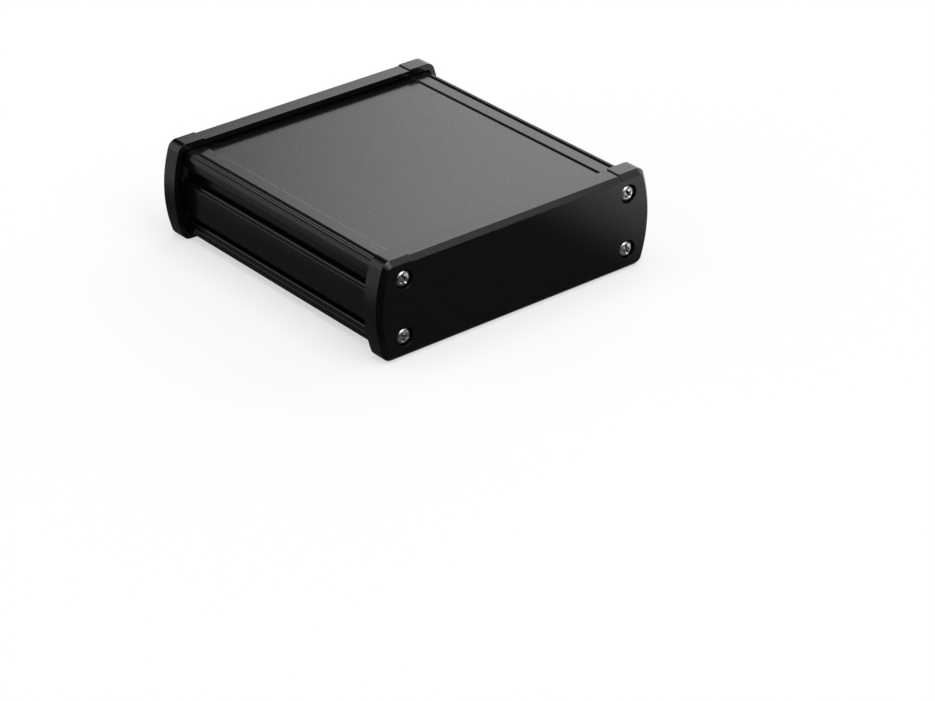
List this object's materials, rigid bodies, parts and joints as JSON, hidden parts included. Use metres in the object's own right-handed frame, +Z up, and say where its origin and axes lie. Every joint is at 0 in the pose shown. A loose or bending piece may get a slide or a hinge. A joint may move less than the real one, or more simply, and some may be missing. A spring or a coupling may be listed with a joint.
{
  "type": "extruded aluminium enclosure",
  "caption": "Flat box for electronics: an extruded aluminium tube with side channels, closed at each end by a bowed blank cap held by four screws.",
  "frame": {"origin": "middle of the footprint, on the plane that the caps rest on", "axes": "+X across the width, +Y along the extrusion from the front cap to the rear one, +Z up"},
  "size_m": [0.112, 0.116, 0.0346],
  "materials": {
    "body_finish": "black anodised, fine satin",
    "cap_finish": "cast, coated black, satin",
    "gasket_rubber": "matt",
    "screw_steel": "bright plated"
  },
  "bodies": {
    "root": {"body": "body_finish", "front_cap": "cap_finish", "front_gasket": "gasket_rubber", "front_screw_top_left": "screw_steel", "front_screw_top_right": "screw_steel", "front_screw_bottom_left": "screw_steel", "front_screw_bottom_right": "screw_steel", "rear_cap": "cap_finish", "rear_gasket": "gasket_rubber", "rear_screw_top_left": "screw_steel", "rear_screw_top_right": "screw_steel", "rear_screw_bottom_left": "screw_steel", "rear_screw_bottom_right": "screw_steel"}
  },
  "joints": []
}
